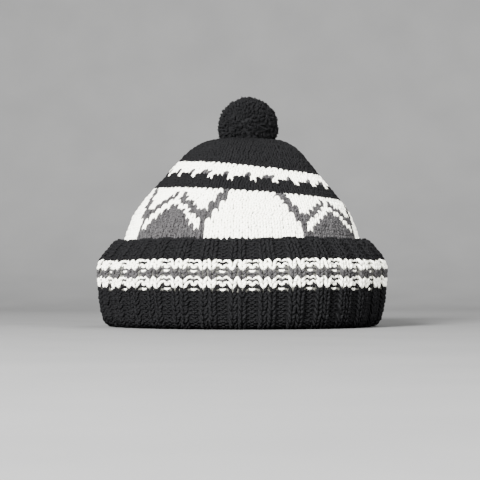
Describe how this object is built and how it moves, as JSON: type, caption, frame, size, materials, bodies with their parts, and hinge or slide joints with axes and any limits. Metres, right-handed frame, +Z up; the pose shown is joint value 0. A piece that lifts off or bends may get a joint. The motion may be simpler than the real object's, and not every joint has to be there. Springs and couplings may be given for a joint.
{
  "type": "knitted bobble hat with a turned-up ribbed cuff",
  "caption": "Chunky knitted winter hat with a domed crown, a turned-up ribbed cuff and a pompom on top, open below for the head.",
  "frame": {"origin": "on the surface that the rim rests on, under the middle of the hat", "axes": "+Z up through the crown; the wearer looks along -Y, with the label inside at +Y; +X is the wearer's left"},
  "size_m": [0.214, 0.2192, 0.1688],
  "materials": {
    "knitted_wool": "hand-knitted black wool with off-white and grey colourwork",
    "cut_pile": "cut ends of black wool yarn",
    "tie_yarn": "plain black wool yarn",
    "woven_tape": "bare cream woven tape"
  },
  "bodies": {
    "root": {"knit_body": "knitted_wool", "pompom": "cut_pile", "pompom_tie": "tie_yarn", "label": "woven_tape"}
  },
  "joints": []
}
